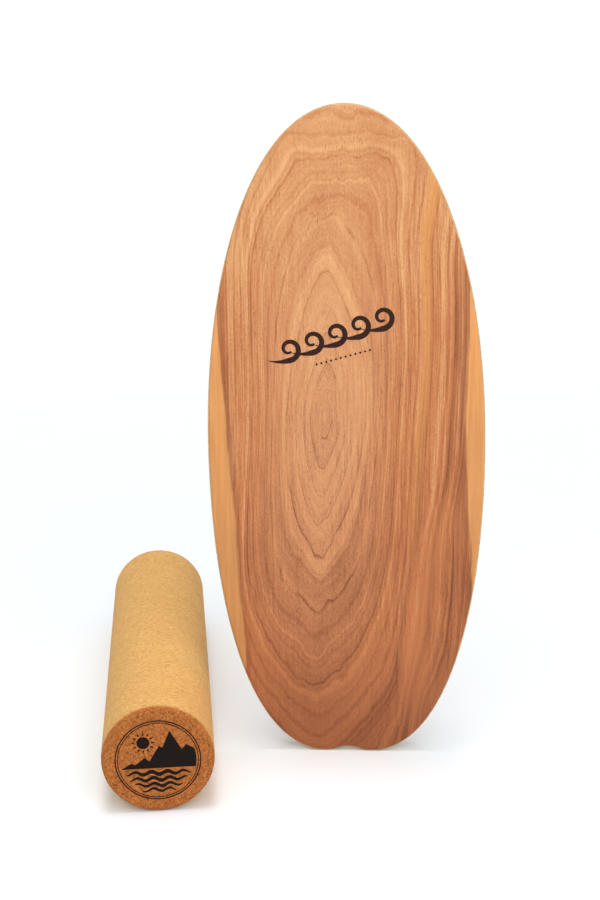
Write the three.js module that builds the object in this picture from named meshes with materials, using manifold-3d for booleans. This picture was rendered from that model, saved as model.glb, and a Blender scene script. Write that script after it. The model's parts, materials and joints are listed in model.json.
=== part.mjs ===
// Roller balance board: a seven-ply wooden deck standing on its tail, two adjustable hardwood
// stops screwed to its underside, and a solid cork roller lying beside it. Millimetres, +Z up.
//
// The deck is built upright in the XZ plane: X across it, Z from tail to nose, and Y through it.
// Its top face, the one stood on, looks towards -Y, and its underside towards +Y.

import * as THREE from 'three';
import { mergeVertices } from 'three/addons/utils/BufferGeometryUtils.js';
import Module from 'manifold-3d';

// ---------------------------------------------------------------- driving dimensions

// deck outline
const DECK_LENGTH = 726;
const DECK_WIDTH = 302;
const WIDEST_HEIGHT = 354;
const NOSE_FULLNESS = 92;
const NOSE_SHOULDER = 561;
const TAIL_FULLNESS = 78;
const TAIL_SHOULDER = 145;
const LOBE_OFFSET = 26;
const NOTCH_DEPTH = 4.5;
const NOTCH_HANDLE = 11;

// deck build-up, from the top face (-Y) to the underside (+Y)
const FACE_VENEER = 0.9;
const INNER_PLY = 2.0;
const GLUE_LINE = 0.1;
const EDGE_RADIUS = 4;
const EDGE_STEPS = 4;

// stops: a slotted bar across the deck with a rubber bumper on the side that meets the roller
const STOP_CENTRE = { nose: 616, tail: 110 };
const STOP_TRAVEL = 14;
const BAR_LENGTH = 160;
const BAR_WIDTH = 56;
const BAR_THICKNESS = 16;
const BAR_CORNER = 9;
const BAR_EDGE = 2;
const SLIDE_GAP = 0.2;
const BUMPER_LENGTH = 138;
const BUMPER_HEIGHT = 12;
const BUMPER_DEPTH = 7;
const GLUE_GAP = 0.1;

// fastening of the stops: M6 button-head screws in brass inserts
const SCREW_SPACING = 100;
const SHANK_RADIUS = 3;
const SHANK_LENGTH = 20;
const HEAD_RADIUS = 5.25;
const HEAD_HEIGHT = 3.3;
const HEAD_FLAT_SHARE = 0.45;
const TIP_CHAMFER = 0.5;
const SOCKET_WIDTH = 4;
const SOCKET_DEPTH = 2;
const WASHER_RADIUS = 7;
const WASHER_BORE = 3.2;
const WASHER_THICKNESS = 1.5;
const SLOT_CLEARANCE = 0.5;
const RECESS_CLEARANCE = 0.75;
const RECESS_DEPTH = 5;
const INSERT_RADIUS = 4.4;
const INSERT_RIDGE = 0.5;
const INSERT_BORE = 3.2;
const INSERT_LENGTH = 7;
const FLANGE_RADIUS = 6;
const FLANGE_THICKNESS = 0.8;
const HOLE_CLEARANCE = 0.15;
const SEAT_GAP = 0.1;

// cork roller, and where it lies beside the deck
const ROLLER_RADIUS = 60;
const ROLLER_LENGTH = 510;
const ROLLER_EDGE = 5;
const ROLLER_TURN = THREE.MathUtils.degToRad(8.5);
const ROLLER_NEAR_END = { x: -195.5, y: -154 };

// facets
const ROUND_SIDES = 20;
const DOME_STEPS = 5;
const BAR_EDGE_STEPS = 2;
const INSERT_RIDGES = 3;
const ROLLER_SIDES = 64;
const CORNER_STEPS = 3;
const SLOT_STEPS = 6;
const OUTLINE_STEPS = 24;
const NOTCH_STEPS = 5;
const OVERCUT = 5;

// ---------------------------------------------------------------- worked-out dimensions

const INNER_PLIES = ['upper_cross_ply', 'upper_long_ply', 'core_ply', 'lower_long_ply', 'lower_cross_ply'];
const PLY_NAMES = ['top_veneer', ...INNER_PLIES, 'bottom_veneer'];
const DECK_THICKNESS =
  2 * FACE_VENEER + INNER_PLIES.length * INNER_PLY + (PLY_NAMES.length - 1) * GLUE_LINE;
const UNDERSIDE = DECK_THICKNESS / 2;
const BAR_BACK = UNDERSIDE + SLIDE_GAP;
const BAR_FRONT = BAR_BACK + BAR_THICKNESS;
const WASHER_SEAT = BAR_FRONT - RECESS_DEPTH + SEAT_GAP;
const HEAD_SEAT = WASHER_SEAT + WASHER_THICKNESS + SEAT_GAP;
// the plies' grain alternates between along the deck and across it
const CROSS_GRAINED = ['upper_cross_ply', 'core_ply', 'lower_cross_ply'];
// the insert holes stop at the upper long ply, so nothing shows on the top face
const DRILLED_PLIES = ['core_ply', 'lower_long_ply', 'lower_cross_ply', 'bottom_veneer'];

// ---------------------------------------------------------------- materials

const LOOKS = {
  walnut: { color: '#a9683f', roughness: 0.45, metalness: 0 },
  birch: { color: '#e3bd83', roughness: 0.6, metalness: 0 },
  birchCross: { color: '#c89a60', roughness: 0.65, metalness: 0 },
  beech: { color: '#c98f5c', roughness: 0.5, metalness: 0 },
  rubber: { color: '#262626', roughness: 0.85, metalness: 0 },
  steel: { color: '#b9bcc0', roughness: 0.3, metalness: 1 },
  brass: { color: '#c9a24a', roughness: 0.35, metalness: 1 },
  cork: { color: '#e0b174', roughness: 0.9, metalness: 0 },
};

// ---------------------------------------------------------------- solid helpers

const manifoldLibrary = await Module();
manifoldLibrary.setup();

// A closed three.js geometry as a manifold solid.
function toSolid(geometry) {
  const bare = geometry.clone();
  bare.deleteAttribute('normal');
  bare.deleteAttribute('uv');
  const merged = mergeVertices(bare, 1e-4);
  const mesh = new manifoldLibrary.Mesh({
    numProp: 3,
    vertProperties: new Float32Array(merged.attributes.position.array),
    triVerts: new Uint32Array(merged.index.array),
  });
  return new manifoldLibrary.Manifold(mesh);
}

// A manifold solid as a three.js geometry.
function toGeometry(solid) {
  const mesh = solid.getMesh();
  const geometry = new THREE.BufferGeometry();
  geometry.setAttribute('position', new THREE.BufferAttribute(mesh.vertProperties, 3));
  geometry.setIndex(new THREE.BufferAttribute(mesh.triVerts, 1));
  geometry.computeVertexNormals();
  return geometry;
}

function cutAway(geometry, tools) {
  let solid = toSolid(geometry);
  for (const tool of tools) {
    solid = solid.subtract(toSolid(tool));
  }
  return toGeometry(solid);
}

function piece(name, geometry, look) {
  const mesh = new THREE.Mesh(geometry, new THREE.MeshStandardMaterial(LOOKS[look]));
  mesh.name = name;
  return mesh;
}

// Stands an extrusion up: its drawing's X and Y become X and Z, and it fills Y from yLow to
// yLow + depth, through the deck.
function standUp(geometry, yLow, depth) {
  geometry.rotateX(Math.PI / 2);
  geometry.translate(0, yLow + depth, 0);
  return geometry;
}

// A round bar along Y.
function barAlongY(radius, yLow, yHigh, x, z) {
  const geometry = new THREE.CylinderGeometry(radius, radius, yHigh - yLow, ROUND_SIDES);
  geometry.translate(x, (yLow + yHigh) / 2, z);
  return geometry;
}

// A turned piece with its axis along Y, from a closed profile of [radius, y] points.
function turnedAlongY(profile, x, z, sides = ROUND_SIDES) {
  const points = profile.map(([radius, y]) => new THREE.Vector2(radius, y));
  const geometry = new THREE.LatheGeometry(points, sides);
  geometry.translate(x, 0, z);
  return geometry;
}

// ---------------------------------------------------------------- deck

// Half of the outline runs from the nose to the widest place, down to the tail lobe, and up
// into the notch. The other half is its mirror image.
function deckOutline() {
  const half = DECK_WIDTH / 2;
  const outline = new THREE.Shape();
  const point = (x, z) => new THREE.Vector2(x, z);
  const addCurve = (steps, ...corners) => {
    const curve = new THREE.CubicBezierCurve(...corners);
    for (const spot of curve.getPoints(steps).slice(1)) {
      outline.lineTo(spot.x, spot.y);
    }
  };
  outline.moveTo(0, DECK_LENGTH);
  for (const side of [1, -1]) {
    const nose = [
      point(0, DECK_LENGTH),
      point(side * NOSE_FULLNESS, DECK_LENGTH),
      point(side * half, NOSE_SHOULDER),
      point(side * half, WIDEST_HEIGHT),
    ];
    const tail = [
      point(side * half, WIDEST_HEIGHT),
      point(side * half, TAIL_SHOULDER),
      point(side * (LOBE_OFFSET + TAIL_FULLNESS), 0),
      point(side * LOBE_OFFSET, 0),
    ];
    const notch = [
      point(side * LOBE_OFFSET, 0),
      point(side * (LOBE_OFFSET - NOTCH_HANDLE), 0),
      point(side * NOTCH_HANDLE, NOTCH_DEPTH),
      point(0, NOTCH_DEPTH),
    ];
    const curves = [
      [OUTLINE_STEPS, nose],
      [OUTLINE_STEPS, tail],
      [NOTCH_STEPS, notch],
    ];
    if (side === 1) {
      curves.forEach(([steps, corners]) => addCurve(steps, ...corners));
    } else {
      curves.reverse().forEach(([steps, corners]) => addCurve(steps, ...corners.reverse()));
    }
  }
  return outline;
}

// The whole deck as one blank with rounded edges, before it is parted into its plies.
function deckBlank() {
  const blank = new THREE.ExtrudeGeometry(deckOutline(), {
    depth: DECK_THICKNESS - 2 * EDGE_RADIUS,
    bevelThickness: EDGE_RADIUS,
    bevelSize: EDGE_RADIUS,
    bevelOffset: -EDGE_RADIUS,
    bevelSegments: EDGE_STEPS,
  });
  return standUp(blank, -UNDERSIDE + EDGE_RADIUS, DECK_THICKNESS - 2 * EDGE_RADIUS);
}

// The four insert holes: a bore with a wider seat for the flange at the underside.
function insertHoles() {
  const boreEnd = UNDERSIDE - INSERT_LENGTH - HOLE_CLEARANCE;
  return screwPlaces().flatMap(({ x, z }) => [
    barAlongY(INSERT_RADIUS + INSERT_RIDGE + HOLE_CLEARANCE, boreEnd, UNDERSIDE + OVERCUT, x, z),
    barAlongY(
      FLANGE_RADIUS + HOLE_CLEARANCE,
      UNDERSIDE - FLANGE_THICKNESS - HOLE_CLEARANCE / 2,
      UNDERSIDE + OVERCUT,
      x,
      z,
    ),
  ]);
}

function plyLook(name) {
  if (name.endsWith('veneer')) {
    return 'walnut';
  }
  return CROSS_GRAINED.includes(name) ? 'birchCross' : 'birch';
}

function deckPlies() {
  const blank = toSolid(deckBlank());
  const holes = insertHoles().map(toSolid);
  let yLow = -UNDERSIDE;
  return PLY_NAMES.map((name) => {
    const thickness = name.endsWith('veneer') ? FACE_VENEER : INNER_PLY;
    const slab = new THREE.BoxGeometry(2 * DECK_WIDTH, thickness, 2 * DECK_LENGTH);
    slab.translate(0, yLow + thickness / 2, DECK_LENGTH / 2);
    let ply = blank.intersect(toSolid(slab));
    if (DRILLED_PLIES.includes(name)) {
      ply = holes.reduce((solid, hole) => solid.subtract(hole), ply);
    }
    yLow += thickness + GLUE_LINE;
    return piece(name, toGeometry(ply), plyLook(name));
  });
}

// ---------------------------------------------------------------- stops

function screwPlaces() {
  return Object.entries(STOP_CENTRE).flatMap(([end, z]) => [
    { name: `${end}_left`, x: -SCREW_SPACING / 2, z },
    { name: `${end}_right`, x: SCREW_SPACING / 2, z },
  ]);
}

function roundedRectangle(width, height, corner) {
  const right = width / 2 - corner;
  const top = height / 2 - corner;
  const shape = new THREE.Shape();
  shape.absarc(right, top, corner, 0, Math.PI / 2);
  shape.absarc(-right, top, corner, Math.PI / 2, Math.PI);
  shape.absarc(-right, -top, corner, Math.PI, 1.5 * Math.PI);
  shape.absarc(right, -top, corner, 1.5 * Math.PI, 2 * Math.PI);
  return shape;
}

// A slot along Z with round ends, as the solid that cuts it.
function slotCutter(radius, yLow, yHigh, x, z) {
  const shape = new THREE.Shape();
  shape.absarc(0, STOP_TRAVEL, radius, 0, Math.PI);
  shape.absarc(0, -STOP_TRAVEL, radius, Math.PI, 2 * Math.PI);
  const depth = yHigh - yLow;
  const cutter = new THREE.ExtrudeGeometry(shape, {
    depth,
    bevelEnabled: false,
    curveSegments: SLOT_STEPS,
  });
  standUp(cutter, yLow, depth);
  cutter.translate(x, 0, z);
  return cutter;
}

function stopBar(end) {
  const centre = STOP_CENTRE[end];
  const shape = roundedRectangle(BAR_LENGTH, BAR_WIDTH, BAR_CORNER);
  const depth = BAR_THICKNESS - 2 * BAR_EDGE;
  const blank = new THREE.ExtrudeGeometry(shape, {
    depth,
    curveSegments: CORNER_STEPS,
    bevelThickness: BAR_EDGE,
    bevelSize: BAR_EDGE,
    bevelOffset: -BAR_EDGE,
    bevelSegments: BAR_EDGE_STEPS,
  });
  standUp(blank, BAR_BACK + BAR_EDGE, depth);
  blank.translate(0, 0, centre);
  const cutters = [-1, 1].flatMap((side) => {
    const x = (side * SCREW_SPACING) / 2;
    return [
      slotCutter(SHANK_RADIUS + SLOT_CLEARANCE, BAR_BACK - OVERCUT, BAR_FRONT, x, centre),
      slotCutter(
        WASHER_RADIUS + RECESS_CLEARANCE,
        BAR_FRONT - RECESS_DEPTH,
        BAR_FRONT + OVERCUT,
        x,
        centre,
      ),
    ];
  });
  return piece(`${end}_stop_bar`, cutAway(blank, cutters), 'beech');
}

// The bumper is glued along the side of the bar that faces the middle of the deck.
function stopBumper(end) {
  const inward = end === 'nose' ? -1 : 1;
  const shape = roundedRectangle(BUMPER_LENGTH, BUMPER_HEIGHT, BUMPER_HEIGHT / 4);
  const strip = new THREE.ExtrudeGeometry(shape, {
    depth: BUMPER_DEPTH,
    bevelEnabled: false,
    curveSegments: CORNER_STEPS,
  });
  const zNear = STOP_CENTRE[end] + inward * (BAR_WIDTH / 2 + GLUE_GAP);
  const zLow = inward > 0 ? zNear : zNear - BUMPER_DEPTH;
  // the strip's drawing lies in XY here, and its extrusion already runs along Z
  strip.translate(0, (BAR_BACK + BAR_FRONT) / 2, zLow);
  return piece(`${end}_stop_bumper`, strip, 'rubber');
}

// ---------------------------------------------------------------- fasteners

function insert({ name, x, z }) {
  const outer = UNDERSIDE - HOLE_CLEARANCE / 2;
  const inner = outer - INSERT_LENGTH;
  const pitch = (INSERT_LENGTH - FLANGE_THICKNESS) / INSERT_RIDGES;
  const profile = [[INSERT_BORE, inner]];
  for (let ridge = 0; ridge < INSERT_RIDGES; ridge += 1) {
    const start = inner + ridge * pitch;
    profile.push([INSERT_RADIUS, start]);
    profile.push([INSERT_RADIUS + INSERT_RIDGE, start + pitch / 2]);
  }
  profile.push([INSERT_RADIUS, outer - FLANGE_THICKNESS]);
  profile.push([FLANGE_RADIUS, outer - FLANGE_THICKNESS]);
  profile.push([FLANGE_RADIUS, outer]);
  profile.push([INSERT_BORE, outer]);
  profile.push([INSERT_BORE, inner]);
  return piece(`${name}_insert`, turnedAlongY(profile, x, z), 'brass');
}

function washer({ name, x, z }) {
  const profile = [
    [WASHER_BORE, WASHER_SEAT],
    [WASHER_RADIUS, WASHER_SEAT],
    [WASHER_RADIUS, WASHER_SEAT + WASHER_THICKNESS],
    [WASHER_BORE, WASHER_SEAT + WASHER_THICKNESS],
    [WASHER_BORE, WASHER_SEAT],
  ];
  return piece(`${name}_washer`, turnedAlongY(profile, x, z), 'steel');
}

// A button-head screw: plain shank, domed head, hexagon socket.
function screw({ name, x, z }) {
  const flat = HEAD_RADIUS * HEAD_FLAT_SHARE;
  const profile = [
    [0, HEAD_SEAT - SHANK_LENGTH],
    [SHANK_RADIUS - TIP_CHAMFER, HEAD_SEAT - SHANK_LENGTH],
    [SHANK_RADIUS, HEAD_SEAT - SHANK_LENGTH + TIP_CHAMFER],
    [SHANK_RADIUS, HEAD_SEAT],
    [HEAD_RADIUS, HEAD_SEAT],
  ];
  for (let step = 1; step <= DOME_STEPS; step += 1) {
    const angle = (step / DOME_STEPS) * (Math.PI / 2);
    const radius = flat + (HEAD_RADIUS - flat) * Math.cos(angle);
    profile.push([radius, HEAD_SEAT + HEAD_HEIGHT * Math.sin(angle)]);
  }
  profile.push([0, HEAD_SEAT + HEAD_HEIGHT]);
  // a hexagonal prism whose flats are SOCKET_WIDTH apart
  const cornerRadius = SOCKET_WIDTH / Math.sqrt(3);
  const socket = new THREE.CylinderGeometry(cornerRadius, cornerRadius, SOCKET_DEPTH + OVERCUT, 6);
  socket.translate(x, HEAD_SEAT + HEAD_HEIGHT - SOCKET_DEPTH + (SOCKET_DEPTH + OVERCUT) / 2, z);
  return piece(`${name}_screw`, cutAway(turnedAlongY(profile, x, z), [socket]), 'steel');
}

// ---------------------------------------------------------------- roller

function corkRoller() {
  const profile = [[0, 0]];
  for (let step = 0; step <= CORNER_STEPS; step += 1) {
    const angle = (step / CORNER_STEPS) * (Math.PI / 2);
    const radius = ROLLER_RADIUS - ROLLER_EDGE * (1 - Math.sin(angle));
    profile.push([radius, ROLLER_EDGE * (1 - Math.cos(angle))]);
  }
  const farEnd = profile.map(([radius, y]) => [radius, ROLLER_LENGTH - y]);
  const geometry = turnedAlongY([...profile, ...farEnd.reverse()], 0, 0, ROLLER_SIDES);
  const roller = piece('cork_roller', geometry, 'cork');
  roller.rotation.z = ROLLER_TURN;
  roller.position.set(ROLLER_NEAR_END.x, ROLLER_NEAR_END.y, ROLLER_RADIUS);
  return roller;
}

// ---------------------------------------------------------------- assembly

const board = new THREE.Group();
board.add(...deckPlies());
board.add(...screwPlaces().flatMap((place) => [insert(place), washer(place), screw(place)]));
for (const end of Object.keys(STOP_CENTRE)) {
  board.add(stopBar(end), stopBumper(end));
}
board.add(corkRoller());

// the frame's origin is the middle of the floor area that the board and roller cover
const extent = new THREE.Box3().setFromObject(board, true);
const middle = extent.getCenter(new THREE.Vector3());
board.position.set(-middle.x, -middle.y, 0);

export default board;
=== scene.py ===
"""A roller balance board: a seven-ply deck stood on its tail beside its solid cork roller.

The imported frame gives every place. Lengths in the classes are millimetres, and the meshes are
metres in the frame's own axes: X across the deck, Z from tail to nose, Y through the deck, whose
top face looks towards -Y.
"""

import json
import logging
import math
from dataclasses import dataclass, field
from enum import Enum
from typing import Sequence

import bmesh
import bpy
from mathutils import Matrix, Vector, noise


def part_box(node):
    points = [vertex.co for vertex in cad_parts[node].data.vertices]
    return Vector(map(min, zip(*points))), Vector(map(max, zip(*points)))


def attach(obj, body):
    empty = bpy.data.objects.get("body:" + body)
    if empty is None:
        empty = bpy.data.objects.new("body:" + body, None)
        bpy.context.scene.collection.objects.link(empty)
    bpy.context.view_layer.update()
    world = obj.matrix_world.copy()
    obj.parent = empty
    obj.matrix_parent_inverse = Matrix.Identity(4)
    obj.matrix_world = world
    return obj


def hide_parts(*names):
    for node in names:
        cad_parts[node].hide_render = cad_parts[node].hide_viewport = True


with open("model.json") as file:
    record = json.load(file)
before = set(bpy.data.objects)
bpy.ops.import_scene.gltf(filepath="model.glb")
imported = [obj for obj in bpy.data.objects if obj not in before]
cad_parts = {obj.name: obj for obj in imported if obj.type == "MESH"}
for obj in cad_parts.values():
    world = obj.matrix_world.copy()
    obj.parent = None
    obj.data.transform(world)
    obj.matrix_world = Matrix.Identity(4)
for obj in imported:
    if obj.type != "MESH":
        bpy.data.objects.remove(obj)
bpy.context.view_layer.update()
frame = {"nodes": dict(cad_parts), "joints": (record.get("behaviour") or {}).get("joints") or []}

LOG = logging.getLogger("balance_board")
MM = 0.001
ORIGIN = Vector((0, 0, 0))
QUARTER = math.pi / 2
WHITE = (1, 1, 1, 1)

Point = tuple[float, float]
Span = tuple[float, float]
Size = tuple[float, float, float]
Loop = list[bmesh.types.BMVert]
Material = bpy.types.Material
Socket = bpy.types.NodeSocket
Thing = bpy.types.Object
Tree = bpy.types.NodeTree

NOISE = "ShaderNodeTexNoise"
VECTOR = "ShaderNodeVectorMath"


class Grain(Enum):
    """Which way the grain of a ply runs."""

    ALONG = "along the deck"
    ACROSS = "across the deck"


class End(Enum):
    """An end of the deck, with the way from its stop to the middle of the deck."""

    NOSE = -1
    TAIL = 1


# ---------------------------------------------------------------- shader helpers


def linear(hex_colour: str) -> tuple[float, float, float, float]:
    """Turns an sRGB hex colour into linear RGBA.

    Args:
        hex_colour: The colour as "#rrggbb".

    Returns:
        Red, green, blue and alpha, each from 0 to 1.
    """
    parts = [int(hex_colour[i : i + 2], 16) / 255 for i in (1, 3, 5)]
    red, green, blue = (c / 12.92 if c <= 0.04045 else ((c + 0.055) / 1.055) ** 2.4 for c in parts)
    return red, green, blue, 1.0


def add(tree: Tree, kind: str, inputs: dict | None = None, **settings: object) -> Socket:
    """Adds one node with its settings and links.

    Args:
        tree: The node tree to add to.
        kind: The node's type name.
        inputs: A value, or a socket to link from, for each input, by number or by name.
        settings: Attributes of the node, such as operation.

    Returns:
        The node's first output in use. Its other outputs are reached through its node.
    """
    node = tree.nodes.new(kind)
    for name, value in settings.items():
        setattr(node, name, value)
    for key, value in (inputs or {}).items():
        usable = [s for s in node.inputs if s.enabled]
        socket = node.inputs[key] if isinstance(key, int) else next(s for s in usable if s.name == key)
        if isinstance(value, Socket):
            tree.links.new(value, socket)
        else:
            socket.default_value = value
    return next((s for s in node.outputs if s.enabled), None)


def calc(tree: Tree, operation: str, *numbers: float | Socket) -> Socket:
    """Adds a math node for an operation on numbers or sockets, and returns its result."""
    return add(tree, "ShaderNodeMath", dict(enumerate(numbers)), operation=operation)


def remap(
    tree: Tree,
    value: Socket,
    given: Span = (0, 1),
    wanted: Span = (0, 1),
    ease: bool = False,
    clamp: bool = True,
) -> Socket:
    """Carries a number over from one span to another.

    Args:
        tree: The node tree to add to.
        value: The number.
        given: The span that it is carried over from.
        wanted: The span that it is carried over to.
        ease: Whether it starts and ends gently.
        clamp: Whether it stays within the wanted span.

    Returns:
        The new number.
    """
    ends = {"From Min": given[0], "From Max": given[1], "To Min": wanted[0], "To Max": wanted[1]}
    kind = "SMOOTHSTEP" if ease else "LINEAR"
    return add(tree, "ShaderNodeMapRange", {"Value": value, **ends}, interpolation_type=kind, clamp=clamp)


def sway(tree: Tree, height: Socket, reach: float | Socket, base: float | Socket) -> Socket:
    """Adds a height from 0 to 1, taken about 0.5 and times a reach, to a base."""
    return calc(tree, "MULTIPLY_ADD", calc(tree, "SUBTRACT", height, 0.5), reach, base)


def parabola(tree: Tree, value: Socket, middle: float, curve: float, base: float) -> Socket:
    """Works out base + curve * (value - middle) squared."""
    square = calc(tree, "POWER", calc(tree, "SUBTRACT", value, middle), 2.0)
    return calc(tree, "MULTIPLY_ADD", square, curve, base)


def blend(tree: Tree, share: Socket, first: str | Socket, second: str | Socket) -> Socket:
    """Mixes two colours, each a socket or sRGB hex, by the share of the second."""
    first, second = (linear(end) if isinstance(end, str) else end for end in (first, second))
    return add(tree, "ShaderNodeMix", {"Factor": share, "A": first, "B": second}, data_type="RGBA")


def new_material(name: str) -> tuple[Material, Tree]:
    """Makes an empty node material.

    Args:
        name: The material's name.

    Returns:
        The material and its empty node tree.
    """
    material = bpy.data.materials.new(name)
    material.use_nodes = True
    tree = material.node_tree
    tree.nodes.clear()
    return material, tree


def surface(tree: Tree, shader: dict, height: Socket, depth: float) -> None:
    """Ends a material in a Principled surface with a bump.

    Args:
        tree: The material's node tree.
        shader: The Principled inputs, by name.
        height: A height from 0 to 1 for the bump.
        depth: What a height of 1 stands for, in mm.
    """
    bump = add(tree, "ShaderNodeBump", {"Height": height, "Strength": 1.0, "Distance": depth * MM})
    shaded = add(tree, "ShaderNodeBsdfPrincipled", {**shader, "Normal": bump})
    add(tree, "ShaderNodeOutputMaterial", {"Surface": shaded})


def millimetres(tree: Tree, centre: Vector = ORIGIN, turn: float = 0.0) -> Socket:
    """Object coordinates in millimetres, centred on a piece and turned with it about Z.

    Args:
        tree: The material's node tree.
        centre: The piece's centre in the frame, in metres.
        turn: How far the piece is turned about Z, in radians.

    Returns:
        The coordinates as a vector socket.
    """
    coordinates = tree.nodes.new("ShaderNodeTexCoord").outputs["Object"]
    place = {0: coordinates, "Location": centre, "Rotation": (0, 0, turn), "Scale": (MM, MM, MM)}
    return add(tree, "ShaderNodeMapping", place, vector_type="TEXTURE")


def stretched_noise(tree: Tree, vector: Socket, grains: Size, detail: float = 2.0) -> Socket:
    """Noise, about 0.5 on average, with blobs of the given size in mm along X, Y and Z."""
    scaled = add(tree, VECTOR, {0: vector, 1: tuple(1 / size for size in grains)}, operation="MULTIPLY")
    return add(tree, NOISE, {"Vector": scaled, "Scale": 1.0, "Detail": detail, "Roughness": 0.55})


def line_noise(tree: Tree, value: Socket, length: float, start: float, detail: float) -> Socket:
    """Noise along a line, about 0.5 on average, with blobs of the given length in mm."""
    way = calc(tree, "MULTIPLY_ADD", value, 1 / length, start)
    return add(tree, NOISE, {"W": way, "Scale": 1.0, "Detail": detail}, noise_dimensions="1D")


# ---------------------------------------------------------------- finishes


@dataclass(frozen=True)
class DeckPoint:
    """A point being shaded on the deck, in mm from the middle of its tail end."""

    tree: Tree
    grain: Socket
    across: Socket
    along: Socket


@dataclass(frozen=True)
class CrownCutVeneer:
    """Crown-cut walnut-family veneer, sanded and lacquered satin.

    A slice near the middle of a leaning trunk: nested pointed ovals along the deck, straight
    stripes at the sides, and a strip of pale sapwood along each long edge. A span along the deck
    is measured from its tail, and a span of rings from the heart of the ovals, both in mm.
    """

    name: str
    mirror: float = 1.0
    shift: float = 0.0

    light: str = "#eab27a"
    middle: str = "#c17544"
    dark: str = "#7e4122"
    sapwood: str = "#e69e5c"
    golden: str = "#e29d58"
    heart: str = "#d29162"
    pore: str = "#5a3220"
    roughness: float = 0.5

    # the line that the ovals' hearts lie on sways from left to right on its way up
    heart_height: float = 393.0
    low_sway: tuple[Span, Span] = ((150.0, 480.0), (-34.0, -20.0))
    high_sway: tuple[Span, Span] = ((560.0, 720.0), (0.0, 26.0))

    # an oval's shape: pointed near the heart, squarer further out, closing in towards the tail
    oval_stretch: float = 3.8
    inner_roundness: float = 1.48
    outer_roundness: float = 4.2
    tail_roundness: float = 2.2
    tail_along: Span = (30.0, 260.0)
    lean: float = 0.6
    rounding_reach: Span = (40.0, 142.0)
    nose_along: Span = (600.0, 700.0)
    flattening: float = 1.13
    flat_corner: float = 3.0

    # grain size and detail of each ripple, and its reach at an oval's sides and at its tips
    ripples: tuple[tuple[Size, float, Span], ...] = (
        ((90, 90, 300), 1.0, (15.0, 15.0)),
        ((30, 30, 60), 2.0, (1.5, 9.0)),
        ((9, 9, 22), 2.0, (0.7, 3.2)),
    )
    # width of growth bands, single years and the thin lines in them, and their strength by the
    # heart and at the sides
    bands: tuple[tuple[float, Span], ...] = ((26.0, (0.16, 0.56)), (7.0, (0.14, 0.6)), (2.1, (0.12, 0.46)))
    band_rings: Span = (30.0, 100.0)
    # grain size of the fibres, a little coarser than real to show, and their strength at the
    # sides and, cut short, at the tips
    fibres: tuple[tuple[Size, Span], ...] = (
        ((1.3, 1.3, 26.0), (0.42, 0.14)),
        ((3.0, 3.0, 130.0), (0.6, 0.14)),
        ((1.4, 1.4, 2.4), (0.3, 0.5)),
        ((45.0, 45.0, 150.0), (0.35, 0.4)),
    )

    # the dark line that ends each growth ring, and the soft shade before it
    ring_spacing: float = 12.5
    ring_wander: float = 2.4
    wander_length: float = 37.0
    wander_start: float = 3.3
    shade_phase: Span = (0.45, 1.0)
    shade_depth: float = 0.1
    line_phase: Span = (0.0, 0.1)
    line_depth: float = 0.36
    ground_tone: float = 0.55
    presence_grains: Size = (26, 26, 60)
    presence: tuple[Span, Span] = ((0.36, 0.6), (0.12, 1.0))
    lines_lost: tuple[Span, Span] = ((60.0, 110.0), (1.0, 0.45))

    # how tone and colour change along and across the deck: the darker tail is partly the wood's own colour
    # and partly painted shade, and the lighter nose is painted light
    calm_ends: tuple[Span, Span] = ((230.0, 370.0), (1.0, 0.55))
    tail_tone_and_painted_shade: tuple[Span, Span] = ((0.0, 170.0), (-0.36, -0.17))
    nose_painted_light: tuple[Span, Span] = ((200.0, 640.0), (0.0, 0.34))
    right_shade: tuple[Span, Span] = ((10.0, 90.0), (0.0, -0.08))
    warm_rings: Span = (25.0, 90.0)
    golden_rise: Span = (98.0, 104.0)
    golden_fall: tuple[Span, Span] = ((108.0, 113.0), (1.0, 0.0))
    golden_across: Span = (20.0, 45.0)
    golden_along: tuple[Span, Span] = ((160.0, 580.0), (0.0, 0.65))

    # a pale swirl on the lower right
    swirl_bend: float = 10.0
    swirl_tone: float = 0.8
    swirl_smoothing: float = 0.62
    swirl_edge: Size = (115.0, 0.0011, 56.0)
    swirl_grains: Size = (20.0, 20.0, 70.0)
    swirl_wobble: float = 16.0
    swirl_inside: tuple[Span, Span] = ((2.0, 22.0), (66.0, 30.0))
    swirl_along: tuple[Span, Span] = ((5.0, 80.0), (360.0, 220.0))

    # the sapwood's edges, a leaning line on the left and a parabola on the right, and the width
    # and darkness of the last heartwood beside each
    left_edge: Span = (-0.0521, -109.1)
    right_edge: Size = (420.0, 0.00017, 129.5)
    edge_grains: Size = (5, 5, 60)
    edge_fuzz: Span = (-5.0, 5.0)
    edge_step: Span = (-1.5, 2.5)
    last_heartwood: tuple[Span, Span] = ((7.0, 0.42), (15.0, 0.45))
    last_end: float = -2.0
    sapwood_grains: Size = (3.5, 3.5, 70)
    sapwood_stripes: Span = (0.72, 1.18)
    # painted shade darkens the sapwood towards the tail and painted light brightens it towards the nose
    sapwood_painted_shading: tuple[Span, Span] = ((60.0, 560.0), (0.72, 1.05))

    # open pores: short dashes, more of them in some zones
    pore_grains: Size = (0.9, 0.9, 7.0)
    zone_grains: Size = (30, 30, 80)
    pore_limit: tuple[Span, Span] = ((0.3, 0.7), (0.68, 0.58))
    pore_width: float = 0.1
    pore_share: float = 0.5
    pore_depth: float = -0.04

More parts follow.
